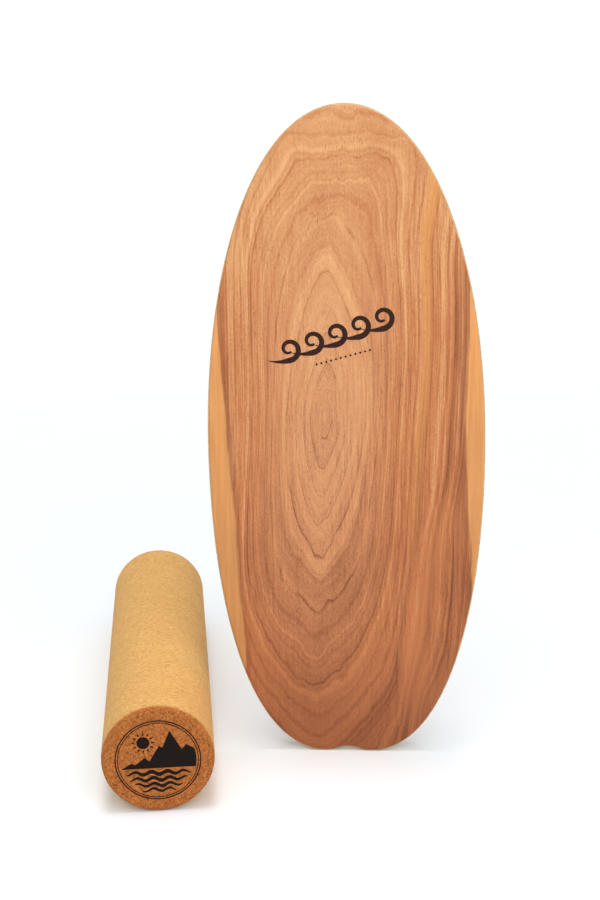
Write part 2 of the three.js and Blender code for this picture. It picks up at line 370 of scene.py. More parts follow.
    def make(self, centre: Vector) -> Material:
        """Builds the material: silky brown wood with a low, even sheen.

        Args:
            centre: The middle of the deck's tail end, in metres.

        Returns:
            The material.
        """
        material, tree = new_material(self.name)
        place = millimetres(tree, centre)
        place = add(tree, VECTOR, {0: place, 1: (self.mirror, 1, 1)}, operation="MULTIPLY")
        grain = add(tree, VECTOR, {0: place, 1: (self.shift, 0, self.shift)}, operation="ADD")
        split = add(tree, "ShaderNodeSeparateXYZ", {0: place})
        at = DeckPoint(tree, grain, split, split.node.outputs["Z"])
        swirl = self._swirl(at)
        rings, tip = self._ring_field(at)
        rings = calc(tree, "MULTIPLY_ADD", swirl, self.swirl_bend, rings)
        tone = self._tone(at, rings, tip)
        # the swirl is smoother and paler than the stripes round it
        lift = calc(tree, "SUBTRACT", self.swirl_tone, tone)
        smooth = calc(tree, "MULTIPLY", swirl, self.swirl_smoothing)
        tone = calc(tree, "MULTIPLY_ADD", lift, smooth, tone)
        colour, pores = self._pores(at, self._heartwood(at, tone, rings))
        shader = {
            "Base Color": self._edges(at, colour),
            "Roughness": self.roughness,
            "Specular IOR Level": 0.3,
            "Coat Weight": 0.05,
            "Coat Roughness": 0.3,
        }
        surface(tree, shader, pores, self.pore_depth)
        return material

    def _swirl(self, at: DeckPoint) -> Socket:
        """Finds where a swirl on the lower right bends the stripes round it.

        Args:
            at: The point being shaded.

        Returns:
            The swirl's share, from 0 to 1.
        """
        edge = parabola(at.tree, at.along, *self.swirl_edge)
        inside = calc(at.tree, "SUBTRACT", at.across, edge)
        wobble = stretched_noise(at.tree, at.grain, self.swirl_grains)
        inside = calc(at.tree, "MULTIPLY_ADD", wobble, self.swirl_wobble, inside)
        share = 1.0
        for value, spans in ((inside, self.swirl_inside), (at.along, self.swirl_along)):
            for span in spans:
                share = calc(at.tree, "MULTIPLY", share, remap(at.tree, value, span, ease=True))
        return share

    def _ring_field(self, at: DeckPoint) -> tuple[Socket, Socket]:
        """Measures how far out a point lies among the ovals.

        Args:
            at: The point being shaded.

        Returns:
            How far out it lies, in mm along X, and how near it is to an oval's tip, from 0 to 1.
        """
        tree = at.tree
        low = remap(tree, at.along, *self.low_sway, ease=True)
        high = remap(tree, at.along, *self.high_sway, ease=True)
        heart = calc(tree, "ADD", low, high)
        aside = calc(tree, "ABSOLUTE", calc(tree, "SUBTRACT", at.across, heart))
        up = calc(tree, "ABSOLUTE", calc(tree, "SUBTRACT", at.along, self.heart_height))
        up = calc(tree, "DIVIDE", up, self.oval_stretch)
        outer = remap(tree, at.along, self.tail_along, (self.tail_roundness, self.outer_roundness))
        reach = calc(tree, "MULTIPLY_ADD", up, self.lean, aside)
        power = remap(tree, reach, self.rounding_reach, (self.inner_roundness, outer))
        up_power = calc(tree, "POWER", up, power)
        total = calc(tree, "ADD", calc(tree, "POWER", aside, power), up_power)
        out = calc(tree, "POWER", total, calc(tree, "DIVIDE", 1.0, power))
        # towards the nose the ovals are cut off flat
        flatness = remap(tree, at.along, self.nose_along, (1.0, self.flattening))
        out = calc(tree, "SMOOTH_MAX", out, calc(tree, "MULTIPLY", up, flatness), self.flat_corner)
        # a ring ripples where it runs across the grain, near an oval's tips, and is straight at its sides
        tip = calc(tree, "DIVIDE", up_power, total)
        for grains, detail, reaches in self.ripples:
            reach = remap(tree, tip, wanted=reaches)
            out = sway(tree, stretched_noise(tree, at.grain, grains, detail), reach, out)
        return out, tip

    def _tone(self, at: DeckPoint, rings: Socket, tip: Socket) -> Socket:
        """Works out how light the wood is from its rings and fibres.

        Args:
            at: The point being shaded.
            rings: How far out it lies among the ovals.
            tip: How near it is to an oval's tip.

        Returns:
            The tone, about 0.5 on average.
        """
        tone = self._ring_lines(at, rings)
        for band, strengths in self.bands:
            reach = remap(at.tree, rings, self.band_rings, strengths)
            tone = sway(at.tree, line_noise(at.tree, rings, band, band, 1.0), reach, tone)
        for grains, strengths in self.fibres:
            reach = remap(at.tree, tip, wanted=strengths)
            tone = sway(at.tree, stretched_noise(at.tree, at.grain, grains), reach, tone)
        return tone

    def _ring_lines(self, at: DeckPoint, rings: Socket) -> Socket:
        """Draws the thin dark line that ends each growth ring, a soft shade before it.

        Args:
            at: The point being shaded.
            rings: How far out it lies among the ovals.

        Returns:
            The tone of the lines on plain wood.
        """
        tree = at.tree
        wander = line_noise(tree, rings, self.wander_length, self.wander_start, 0.0)
        wander = calc(tree, "MULTIPLY", wander, self.ring_wander)
        phase = calc(tree, "FRACT", calc(tree, "MULTIPLY_ADD", rings, 1 / self.ring_spacing, wander))
        shade = remap(tree, phase, self.shade_phase, (0.0, self.shade_depth), ease=True)
        line = remap(tree, phase, self.line_phase, (self.line_depth, 0.0), ease=True)
        both = calc(tree, "ADD", shade, line)
        # a line comes and goes along its length, and away from the heart it is lost among the stripes
        presence = stretched_noise(tree, at.grain, self.presence_grains, 1.0)
        both = calc(tree, "MULTIPLY", both, remap(tree, presence, *self.presence))
        both = calc(tree, "MULTIPLY", both, remap(tree, rings, *self.lines_lost))
        return calc(tree, "SUBTRACT", self.ground_tone, both)

    def _heartwood(self, at: DeckPoint, tone: Socket, rings: Socket) -> Socket:
        """Colours the tone, redder and darker towards the tail, partly in painted shade, and lighter towards
        the nose in painted light.

        Args:
            at: The point being shaded.
            tone: How light the wood is there.
            rings: How far out it lies among the ovals.

        Returns:
            The heartwood's colour.
        """
        tree = at.tree
        # both ends of the deck are calmer than its middle
        away = calc(tree, "ABSOLUTE", calc(tree, "SUBTRACT", at.along, self.heart_height))
        tone = sway(tree, tone, remap(tree, away, *self.calm_ends), 0.5)
        # the tail is darkened, partly as the wood's own colour and partly as painted shade, and the nose is
        # brightened as painted light
        fade = remap(tree, at.along, *self.tail_tone_and_painted_shade, ease=True)
        fade = calc(tree, "ADD", fade, remap(tree, at.along, *self.nose_painted_light))
        fade = calc(tree, "ADD", fade, remap(tree, at.across, *self.right_shade))
        tone = calc(tree, "ADD", tone, fade)
        # the heart of the ovals is a cooler brown than the sides
        middle = blend(tree, remap(tree, rings, self.warm_rings), self.heart, self.middle)
        colour = blend(tree, remap(tree, tone, (0.0, 0.5)), self.dark, middle)
        colour = blend(tree, remap(tree, tone, (0.5, 1.0)), colour, self.light)
        # one wide golden year on the right, clearest towards the nose
        share = remap(tree, rings, self.golden_rise, ease=True)
        share = calc(tree, "MULTIPLY", share, remap(tree, rings, *self.golden_fall, ease=True))
        share = calc(tree, "MULTIPLY", share, remap(tree, at.across, self.golden_across))
        share = calc(tree, "MULTIPLY", share, remap(tree, at.along, *self.golden_along))
        return blend(tree, share, colour, self.golden)

    def _pores(self, at: DeckPoint, colour: Socket) -> tuple[Socket, Socket]:
        """Adds short dark open pores along the grain, which the lacquer leaves as fine dents.

        Args:
            at: The point being shaded.
            colour: The wood's colour.

        Returns:
            The colour with its pores, and where the pores are, from 0 to 1.
        """
        dash = stretched_noise(at.tree, at.grain, self.pore_grains)
        zone = stretched_noise(at.tree, at.grain, self.zone_grains, 1.0)
        over = calc(at.tree, "SUBTRACT", dash, remap(at.tree, zone, *self.pore_limit))
        pores = remap(at.tree, over, (0.0, self.pore_width))
        share = calc(at.tree, "MULTIPLY", pores, self.pore_share)
        return blend(at.tree, share, colour, self.pore), pores

    def _edges(self, at: DeckPoint, colour: Socket) -> Socket:
        """Adds the dark last heartwood and the pale sapwood along both long edges, with painted shade on the
        sapwood towards the tail and painted light towards the nose.

        Args:
            at: The point being shaded.
            colour: The heartwood's colour.

        Returns:
            The colour of the whole face.
        """
        tree = at.tree
        fuzz = stretched_noise(tree, at.grain, self.edge_grains, 3.0)
        fuzz = remap(tree, fuzz, wanted=self.edge_fuzz, clamp=False)
        left = calc(tree, "SUBTRACT", calc(tree, "MULTIPLY_ADD", at.along, *self.left_edge), at.across)
        right = calc(tree, "SUBTRACT", at.across, parabola(tree, at.along, *self.right_edge))
        pale = remap(tree, stretched_noise(tree, at.grain, self.sapwood_grains),
                     wanted=self.sapwood_stripes, clamp=False)
        sapwood = linear(self.sapwood)[:3]
        # the sapwood's pale stripes, then painted shade towards the tail and painted light towards the nose
        for scale in (pale, remap(tree, at.along, *self.sapwood_painted_shading)):
            sapwood = add(tree, VECTOR, {0: sapwood, "Scale": scale}, operation="SCALE")
        # the last heartwood before the sapwood is wide and dark on the right, a thin line on the left
        for outside, (width, darkness) in zip((left, right), self.last_heartwood):
            outside = calc(tree, "ADD", outside, fuzz)
            last = remap(tree, outside, (-width, self.last_end), (0.0, darkness), ease=True)
            colour = blend(tree, last, colour, self.dark)
            colour = blend(tree, remap(tree, outside, self.edge_step, ease=True), colour, sapwood)
        return colour


@dataclass(frozen=True)
class BirchPly:
    """Rotary-cut birch ply, sanded at the edge: pale lines along the grain, dark dots across it."""

    name: str
    grain: Grain
    light: str
    dark: str
    fibre: float = 0.5
    fibre_length: float = 22.0
    year: float = 4.0
    contrast: Span = (0.75, 1.3)

    def make(self, centre: Vector) -> Material:
        """Builds the material: pale, dry, finely striped wood.

        Args:
            centre: The middle of the deck's tail end, in metres.

        Returns:
            The material.
        """
        material, tree = new_material(self.name)
        place = millimetres(tree, centre)
        length, width = self.fibre_length, self.fibre
        grains = (width, width, length) if self.grain is Grain.ALONG else (length, width, width)
        fibres = stretched_noise(tree, place, grains, 3.0)
        years = stretched_noise(tree, place, tuple(self.year * size for size in grains), 1.0)
        share = remap(tree, calc(tree, "ADD", fibres, years), self.contrast)
        colour = blend(tree, share, self.light, self.dark)
        surface(tree, {"Base Color": colour, "Roughness": 0.58, "IOR": 1.5}, fibres, 0.08)
        return material


@dataclass(frozen=True)
class OiledBeech:
    """Steamed beech, planed and oiled: pinkish tan with short dark ray flecks along the grain."""

    name: str = "oiled_beech"
    light: str = "#d9a673"
    dark: str = "#b67c4c"
    fleck: str = "#8a5530"
    band_grains: Size = (160.0, 7.0, 7.0)
    fibre_grains: Size = (16.0, 0.7, 0.7)
    fleck_grains: Size = (3.2, 0.5, 0.5)
    fleck_edge: tuple[Span, Span] = ((0.64, 0.72), (0.0, 0.6))
    band_tone: Span = (0.6, 0.2)
    fibre_tone: float = 0.5
    contrast: Span = (0.52, 1.0)
    relief: float = 0.05

    def make(self) -> Material:
        """Builds the material: a soft oil sheen over flecked wood.

        Returns:
            The material.
        """
        material, tree = new_material(self.name)
        place = millimetres(tree)
        bands = stretched_noise(tree, place, self.band_grains, 3.0)
        fibres = stretched_noise(tree, place, self.fibre_grains)
        tone = calc(tree, "MULTIPLY_ADD", bands, *self.band_tone)
        tone = calc(tree, "MULTIPLY_ADD", fibres, self.fibre_tone, tone)
        colour = blend(tree, remap(tree, tone, self.contrast), self.light, self.dark)
        rays = stretched_noise(tree, place, self.fleck_grains, 1.0)
        colour = blend(tree, remap(tree, rays, *self.fleck_edge), colour, self.fleck)
        shader = {"Base Color": colour, "Roughness": 0.48, "IOR": 1.48, "Coat Weight": 0.1}
        surface(tree, shader, fibres, self.relief)
        return material


@dataclass(frozen=True)
class PressedCork:
    """Cork granules pressed flat along the roller and glued: fine dashes round the side.

    The ends cut through the granules' faces, so they are browner and coarser, with dark bark.
    """

    name: str = "pressed_cork"
    side_light: str = "#f8cc82"
    side_dark: str = "#c98d4a"
    end_light: str = "#cb7d3c"
    end_dark: str = "#773813"
    bark: str = "#5e2f17"
    granule_grains: Size = (5.0, 5.0 / 5.5, 5.0)
    fine_grains: Size = (1.3, 0.7, 1.3)
    cloud_grains: Size = (34.0, 22.0, 34.0)
    crumb_grains: Size = (2.0, 2.0, 2.0)
    bark_grains: Size = (2.4, 1.1, 2.4)
    end_start: float = 6.0
    end_full: float = -0.5
    end_ragged: float = 4.0
    bark_limit: Span = (0.705, 0.655)
    bark_edge: tuple[Span, Span] = ((0.0, 0.05), (0.0, 0.75))
    granule_tone: Span = (1.3, -0.5)
    fine_tone: float = 0.6
    cloud_tone: float = 0.16
    side_contrast: Span = (0.2, 0.8)
    crumb_coarseness: float = 0.35
    end_contrast: Span = (0.45, 0.95)
    relief: float = 0.35

    def make(self, centre: Vector, turn: float, half_length: float) -> Material:
        """Builds the material: dry and matt, with a granular bump.

        Args:
            centre: The roller's centre in metres.
            turn: How far the roller is turned about Z, in radians.
            half_length: Half the roller's length in mm.

        Returns:
            The material.
        """
        material, tree = new_material(self.name)
        place = millimetres(tree, centre, turn)
        granules = stretched_noise(tree, place, self.granule_grains, 3.0)
        fine = stretched_noise(tree, place, self.fine_grains)
        clouds = stretched_noise(tree, place, self.cloud_grains)
        tone = calc(tree, "MULTIPLY_ADD", granules, *self.granule_tone)
        tone = calc(tree, "MULTIPLY_ADD", fine, self.fine_tone, tone)
        tone = calc(tree, "MULTIPLY_ADD", clouds, self.cloud_tone, tone)
        side = blend(tree, remap(tree, tone, self.side_contrast), self.side_light, self.side_dark)
        crumbs = stretched_noise(tree, place, self.crumb_grains, 3.0)
        crumbs = calc(tree, "MULTIPLY_ADD", granules, self.crumb_coarseness, crumbs)
        end = blend(tree, remap(tree, crumbs, self.end_contrast), self.end_light, self.end_dark)
        split = add(tree, "ShaderNodeSeparateXYZ", {0: place})
        along = calc(tree, "ABSOLUTE", split.node.outputs["Y"])
        ragged = calc(tree, "MULTIPLY_ADD", granules, self.end_ragged, along)
        reach = (half_length - self.end_start, half_length - self.end_full)
        is_end = remap(tree, ragged, reach, ease=True)
        specks = stretched_noise(tree, place, self.bark_grains, 1.0)
        over = calc(tree, "SUBTRACT", specks, remap(tree, is_end, wanted=self.bark_limit))
        colour = blend(tree, is_end, side, end)
        colour = blend(tree, remap(tree, over, *self.bark_edge), colour, self.bark)
        shader = {"Base Color": colour, "Roughness": 0.85, "Specular IOR Level": 0.25}
        surface(tree, shader, tone, self.relief)
        return material


@dataclass(frozen=True)
class MouldedRubber:
    """Black moulded rubber with a fine matt skin and a trace of pale dust."""

    name: str = "moulded_rubber"
    black: str = "#232325"
    dust: str = "#3f3d3a"
    skin_grains: Size = (0.6, 0.6, 0.6)
    dust_grains: Size = (14.0, 6.0, 6.0)
    dust_edge: tuple[Span, Span] = ((0.5, 0.8), (0.0, 0.7))
    roughness: Span = (0.66, 0.86)
    relief: float = 0.06

    def make(self) -> Material:
        """Builds the material, which swallows light but for its dust.

        Returns:
            The material.
        """
        material, tree = new_material(self.name)
        place = millimetres(tree)
        skin = stretched_noise(tree, place, self.skin_grains)
        dust = stretched_noise(tree, place, self.dust_grains, 4.0)
        colour = blend(tree, remap(tree, dust, *self.dust_edge), self.black, self.dust)
        rough = remap(tree, dust, wanted=self.roughness)
        surface(tree, {"Base Color": colour, "Roughness": rough, "IOR": 1.52}, skin, self.relief)
        return material


@dataclass(frozen=True)
class TurnedMetal:
    """Machined metal, plated or bare: fine turning marks break up a bright reflection."""

    name: str
    bright: str
    dull: str
    roughness: float
    mark_grains: Size = (2.0, 0.25, 2.0)
    cloud_grains: Size = (3.0, 3.0, 3.0)
    smoother: float = 0.1
    rougher: float = 0.12
    relief: float = 0.01

    def make(self) -> Material:
        """Builds the material: a bright reflection, broken up by turning marks.

        Returns:
            The material.
        """
        material, tree = new_material(self.name)
        place = millimetres(tree)
        marks = stretched_noise(tree, place, self.mark_grains)
        clouds = stretched_noise(tree, place, self.cloud_grains, 3.0)
        colour = blend(tree, clouds, self.bright, self.dull)
        rough = (self.roughness - self.smoother, self.roughness + self.rougher)
        rough = remap(tree, clouds, wanted=rough)
        surface(tree, {"Base Color": colour, "Metallic": 1.0, "Roughness": rough}, marks, self.relief)
        return material


@dataclass(frozen=True)
class PrintedInk:
    """Dark brown screen-printed ink: almost flat, with the surface's grain showing faintly."""

    name: str
    ink: str
    worn: str
    grains: Size = (0.8, 0.8, 3.5)
    wear: Span = (0.45, 0.8)
    relief: float = 0.01

    def make(self) -> Material:
        """Builds the material: a flat dark coat, worn paler here and there.

        Returns:
            The material.
        """
        material, tree = new_material(self.name)
        grain = stretched_noise(tree, millimetres(tree), self.grains, 3.0)
        colour = blend(tree, remap(tree, grain, self.wear), self.ink, self.worn)
        shader = {"Base Color": colour, "Roughness": 0.75, "Specular IOR Level": 0.15}
        surface(tree, shader, grain, self.relief)
        return material


@dataclass(frozen=True)
class StudioPaper:
    """White background paper, matt, with faint broad clouds, which turns into an even white glow far off."""

    name: str = "studio_paper"
    white: str = "#f4f9fc"
    shade: str = "#f2f7fa"
    cloud: float = 300.0
    curve: Span = (900.0, 3200.0)
    glow: float = 1.05

    def make(self) -> Material:
        """Builds the material: matt white that turns into a glow far off.

        Returns:
            The material.
        """
        material, tree = new_material(self.name)
        place = millimetres(tree)
        clouds = stretched_noise(tree, place, (self.cloud, self.cloud, self.cloud), 1.0)
        colour = blend(tree, clouds, self.white, self.shade)
        paper = add(tree, "ShaderNodeBsdfPrincipled", {"Base Color": colour, "Roughness": 0.9, "IOR": 1.3})
        # far off, the paper turns into an even white glow
        glow = add(tree, "ShaderNodeEmission", {"Color": WHITE, "Strength": self.glow})
        away = add(tree, VECTOR, {0: place}, operation="LENGTH")
        share = remap(tree, away, self.curve, ease=True)
        both = add(tree, "ShaderNodeMixShader", {0: share, 1: paper, 2: glow})
        add(tree, "ShaderNodeOutputMaterial", {"Surface": both})
        return material


# ---------------------------------------------------------------- mesh helpers


@dataclass
class Solid:
    """One closed mesh made of loops of points joined by walls and closed by caps.

    A point is (u, v) in a drawing plane at a depth w, in mm; place puts it in the frame.
    """

    place: Matrix
    mesh: bmesh.types.BMesh = field(default_factory=bmesh.new)

    def loop(self, outline: Sequence[Point], depth: float) -> Loop:
        """Adds the points of an outline at a depth and returns their vertices."""
        return [self.mesh.verts.new(self.place @ Vector((u, v, depth))) for u, v in outline]

    def walls(self, loops: Sequence[Loop], smooth: bool = True) -> None:
        """Joins each loop to the next, point by point, by a ring of quads.

        Args:
            loops: The loops in order, all with the same number of points.
            smooth: Whether the quads are shaded smooth.
        """
        for first, second in zip(loops, loops[1:]):
            for i in range(len(first)):
                j = (i + 1) % len(first)
                face = self.mesh.faces.new((first[i], first[j], second[j], second[i]))
                face.smooth = smooth

    def cap(self, *loops: Loop) -> None:
        """Fills a flat area.

        Args:
            loops: The loop round it, then those of any holes in it.
        """
        edges = []
        for loop in loops:
            for first, second in zip(loop, loop[1:] + loop[:1]):
                edges.append(self.mesh.edges.get((first, second)) or self.mesh.edges.new((first, second)))
        bmesh.ops.triangle_fill(self.mesh, use_beauty=True, use_dissolve=False, edges=edges)

    def prism(self, outline: Sequence[Point], first: float, last: float, smooth: bool = False) -> None:
        """Adds a closed bar of one section.

        Args:
            outline: The section.
            first: The depth of one end.
            last: The depth of the other.
            smooth: Whether its sides are shaded smooth.
        """
        loops = [self.loop(outline, first), self.loop(outline, last)]
        self.walls(loops, smooth)
        for loop in loops:
            self.cap(loop)

    def finish(self, name: str, material: Material) -> Thing:
        """Turns the loops into an object with its faces pointing outwards.

        Args:
            name: The piece's name.
            material: Its finish.

        Returns:
            The new object, at the origin.
        """
        bmesh.ops.recalc_face_normals(self.mesh, faces=self.mesh.faces)
        data = bpy.data.meshes.new(name)
        self.mesh.to_mesh(data)
        self.mesh.free()
        data.materials.append(material)
        return show(name, data)


def show(name: str, data: bpy.types.ID) -> Thing:
    """Puts a mesh, light or camera into the scene.

    Args:
        name: The new object's name.
        data: What it shows.

    Returns:
        The new object.
    """
    thing = bpy.data.objects.new(name, data)
    bpy.context.scene.collection.objects.link(thing)
    return thing


def enlist(piece: Thing, body: str, slot_name: str = "", *nodes: str) -> Thing:
    """Parents a piece to its body and hides the CAD nodes that it stands for.

    Args:
        piece: The piece.
        body: The body that it moves with.
        slot_name: Not used.
        nodes: The CAD nodes that it stands for.

    Returns:
        The piece.
    """
    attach(piece, body)
    if nodes:
        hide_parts(*nodes)
    return piece


def arc(radius: Point, start: float, sweep: float, steps: int, centre: Point = (0.0, 0.0)) -> list[Point]:
    """Points along part of an ellipse, from an angle on by a sweep, both ends included."""
    turns = [start + sweep * step / steps for step in range(steps + 1)]
    return [(centre[0] + radius[0] * math.cos(t), centre[1] + radius[1] * math.sin(t)) for t in turns]


def circle(radius: float, sides: int, centre: Point = (0.0, 0.0)) -> list[Point]:
    """The corners of a regular polygon round a centre."""
    return arc((radius, radius), 0.0, math.tau, sides, centre)[:-1]


def rounded_rectangle(width: float, height: float, corner: float, steps: int = 8) -> list[Point]:
    """A rectangle about the origin with round corners.

    Args:
        width: Its size along u.
        height: Its size along v.
        corner: The radius of its corners.
        steps: How many segments a corner has.

    Returns:
        The outline, counter-clockwise.
    """
    u, v = width / 2 - corner, height / 2 - corner
    outline = []
    for index, centre in enumerate(((u, v), (-u, v), (-u, -v), (u, -v))):
        outline += arc((corner, corner), QUARTER * index, QUARTER, steps, centre)
    return outline


def slot(radius: float, reach: float, centre: Point, steps: int = 12) -> list[Point]:
    """A slot along v with round ends.

    Args:
        radius: Half its width.
        reach: The distance from its middle to the centre of each round end.
        centre: Its middle.
        steps: How many segments an end has.

    Returns:
        The outline, counter-clockwise.
    """
    outline = []
    for side, start in ((1, 0.0), (-1, math.pi)):
        outline += arc((radius, radius), start, math.pi, steps, (centre[0], centre[1] + side * reach))
    return outline


def inset(outline: Sequence[Point], distance: float) -> list[Point]:
    """Moves each point of a counter-clockwise outline inwards along its normal.

    Args:
        outline: The closed outline.
        distance: How far to move each point.

    Returns:
        The moved outline, with the same number of points.
    """
    moved = []
    for i, (u, v) in enumerate(outline):
        before, after = outline[i - 1], outline[(i + 1) % len(outline)]
        du, dv = after[0] - before[0], after[1] - before[1]
        length = math.hypot(du, dv)
        moved.append((u - dv / length * distance, v + du / length * distance))
    return moved


def round_over(radius: float, steps: int) -> list[Point]:
    """(inset, depth) from a flat face at depth 0 round to a side wall at depth radius."""
    turns = (QUARTER * i / steps for i in range(steps + 1))
    return [(radius * (1 - math.sin(t)), radius * (1 - math.cos(t))) for t in turns]


def facing_y(centre: Vector) -> Matrix:
    """Drawing axes u, v, w as X, Z, Y from a centre in metres."""
    axes = Matrix(((MM, 0, 0, 0), (0, 0, MM, 0), (0, MM, 0, 0), (0, 0, 0, 1)))
    return Matrix.Translation(centre) @ axes


# ---------------------------------------------------------------- repeating by Geometry Nodes


class RepeatTree:
    """A Geometry Nodes tree that copies a unit along a row, and the row along a second way."""

    def __init__(self) -> None:
        """Builds the tree with its named inputs."""
        self.tree = bpy.data.node_groups.new("repeat_in_rows", "GeometryNodeTree")
        self.sockets = {
            name: self.tree.interface.new_socket(name, in_out="INPUT", socket_type=kind).identifier
            for name, kind in (
                ("Unit", "NodeSocketGeometry"),
                ("Row Count", "NodeSocketInt"),
                ("Row Step", "NodeSocketVector"),
                ("Rows", "NodeSocketInt"),
                ("Step Between Rows", "NodeSocketVector"),
                ("Material", "NodeSocketMaterial"),
            )
        }
        self.tree.interface.new_socket("Geometry", in_out="OUTPUT", socket_type="NodeSocketGeometry")
        given = add(self.tree, "NodeGroupInput").node.outputs
        shape = given["Unit"]
        for count, step in (("Row Count", "Row Step"), ("Rows", "Step Between Rows")):
            along = {"Count": given[count], "Offset": given[step]}
            line = add(self.tree, "GeometryNodeMeshLine", along, mode="OFFSET")
            shape = add(self.tree, "GeometryNodeInstanceOnPoints", {"Points": line, "Instance": shape})
        plain = add(self.tree, "GeometryNodeRealizeInstances", {"Geometry": shape})
        dress = {"Geometry": plain, "Material": given["Material"]}
        add(self.tree, "NodeGroupOutput", {0: add(self.tree, "GeometryNodeSetMaterial", dress)})

    def spread(self, unit: Thing, row: tuple[int, Vector], rows: tuple[int, Vector] = (1, ORIGIN)) -> None:
        """Replaces a unit's mesh by all its copies, as one plain mesh.

        Args:
            unit: The object to repeat, which keeps its name and first material.
            row: How many copies a row has, and the step between them in metres.
            rows: How many rows there are, and the step between them in metres.
        """
        modifier = unit.modifiers.new("repeat", "NODES")
        modifier.node_group = self.tree
        for name, value in (
            ("Row Count", row[0]),
            ("Row Step", row[1]),
            ("Rows", rows[0]),
            ("Step Between Rows", rows[1]),
            ("Material", unit.data.materials[0]),
        ):
            modifier[self.sockets[name]] = value
        unit.update_tag()
        graph = bpy.context.evaluated_depsgraph_get()
        spread = bpy.data.meshes.new_from_object(unit.evaluated_get(graph))
        unit.modifiers.clear()
        unit.data = spread


# ---------------------------------------------------------------- deck


@dataclass
class Deck:
    """The seven-ply deck: five birch plies between two face veneers, with all its edges rounded."""

    widest_height: float = 354.0
    nose_fullness: float = 92.0
    nose_shoulder: float = 561.0
    tail_fullness: float = 78.0
    tail_shoulder: float = 145.0
    lobe_offset: float = 26.0
    notch_handle: float = 11.0
    notch_depth: float = 4.5
    edge_radius: float = 4.0
    hole_radius: float = 5.05
    hole_sides: int = 24
    hole_spacing: float = 100.0
    hole_heights: tuple[float, float] = (616.0, 110.0)
    curve_steps: int = 90
    notch_steps: int = 14
    rounding_steps: int = 15
    least_step: float = 0.05

    def __post_init__(self) -> None:
        """Reads the deck's place and size from the frame."""
        low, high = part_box("core_ply")
        top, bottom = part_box("top_veneer"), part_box("bottom_veneer")
        self.length = (high.z - low.z) / MM
        self.width = (high.x - low.x) / MM
        middle = (top[0].y + bottom[1].y) / 2
        self.half_thickness = (bottom[1].y - top[0].y) / 2 / MM
        self.centre = Vector(((low.x + high.x) / 2, middle, low.z))

    def outline(self) -> list[Point]:
        """Draws the deck's outline in Bezier curves.

        Returns:
            Its points from the nose round, counter-clockwise as seen from the top face.
        """
        half, notch = self.width / 2, (0.0, self.notch_depth)
        widest, lobe = (half, self.widest_height), (self.lobe_offset, 0)
        curves = (
            (self.curve_steps, (0, self.length), (self.nose_fullness, self.length),
             (half, self.nose_shoulder), widest),
            (self.curve_steps, widest, (half, self.tail_shoulder),
             (self.lobe_offset + self.tail_fullness, 0), lobe),
            (self.notch_steps, lobe, (self.lobe_offset - self.notch_handle, 0),
             (self.notch_handle, self.notch_depth), notch),
        )
        right = []
        for steps, *corners in curves:
            for step in range(steps):
                t = step / steps
                weights = ((1 - t) ** 3, 3 * t * (1 - t) ** 2, 3 * t * t * (1 - t), t**3)
                right.append(tuple(sum(w * p[axis] for w, p in zip(weights, corners)) for axis in (0, 1)))
        left = [(-u, v) for u, v in right[1:]]
        return [right[0], *left, notch, *reversed(right[1:])]

    def edge_inset(self, depth: float) -> float:
        """How far the edge rounding has come in at a depth from the deck's middle plane."""
        beyond = max(0.0, abs(depth) - (self.half_thickness - self.edge_radius))
        return self.edge_radius - math.sqrt(max(0.0, self.edge_radius**2 - beyond**2))

    def depths(self, low: float, high: float) -> list[float]:
        """Places a ply's loops: at its two faces, and in steps of equal turn round the deck's edge.

        Args:
            low: The depth of its first face.
            high: The depth of its last face.

        Returns:
            The depths in order.
        """
        flat = self.half_thickness - self.edge_radius
        rounding = round_over(self.edge_radius, self.rounding_steps)
        turned = (flat + self.edge_radius - cut for cut, _ in rounding)
        inner = {side * depth for depth in turned for side in (-1, 1)}
        gap = self.least_step
        return [low, *sorted(d for d in inner if low + gap < d < high - gap), high]

    def ply(self, node: str, material: Material, slot_name: str, drilled: bool) -> Thing:
        """Builds one ply in the place of its CAD node.

        Args:
            node: The CAD node that it stands for.
            material: Its finish.
            slot_name: The record's slot for that finish.
            drilled: Whether the insert holes go through it.

        Returns:
            The ply.
        """
        low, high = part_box(node)
        first, last = ((y - self.centre.y) / MM for y in (low.y, high.y))
        solid = Solid(facing_y(self.centre))
        outline = self.outline()
        rim = [solid.loop(inset(outline, self.edge_inset(d)), d) for d in self.depths(first, last)]
        solid.walls(rim)
        bores = []
        if drilled:
            half = self.hole_spacing / 2
            for spot in ((side * half, height) for height in self.hole_heights for side in (-1, 1)):
                hole = circle(self.hole_radius, self.hole_sides, spot)
                bores.append([solid.loop(hole, first), solid.loop(hole, last)])
                solid.walls(bores[-1])
        for end in (0, -1):
            solid.cap(rim[end], *(bore[end] for bore in bores))
        return enlist(solid.finish(f"{node}_skin", material), "deck", slot_name, node)

    def build(self) -> list[Thing]:
        """Builds and dresses all seven plies.

        Returns:
            The plies from the top face down.
        """
        face = CrownCutVeneer("crown_cut_veneer_top").make(self.centre)
        back = CrownCutVeneer("crown_cut_veneer_bottom", mirror=-1.0, shift=613.0).make(self.centre)
        cross = BirchPly("birch_cross_ply", Grain.ACROSS, "#e3bd88", "#bb8a55").make(self.centre)
        long = BirchPly("birch_long_ply", Grain.ALONG, "#f2d6a8", "#d9b07e").make(self.centre)
        return [
            self.ply("top_veneer", face, "face_veneer", False),
            self.ply("upper_cross_ply", cross, "cross_ply", False),
            self.ply("upper_long_ply", long, "long_ply", False),
            self.ply("core_ply", cross, "cross_ply", True),
            self.ply("lower_long_ply", long, "long_ply", True),
            self.ply("lower_cross_ply", cross, "cross_ply", True),
            self.ply("bottom_veneer", back, "face_veneer", True),
        ]


# ---------------------------------------------------------------- stops and their fastenings


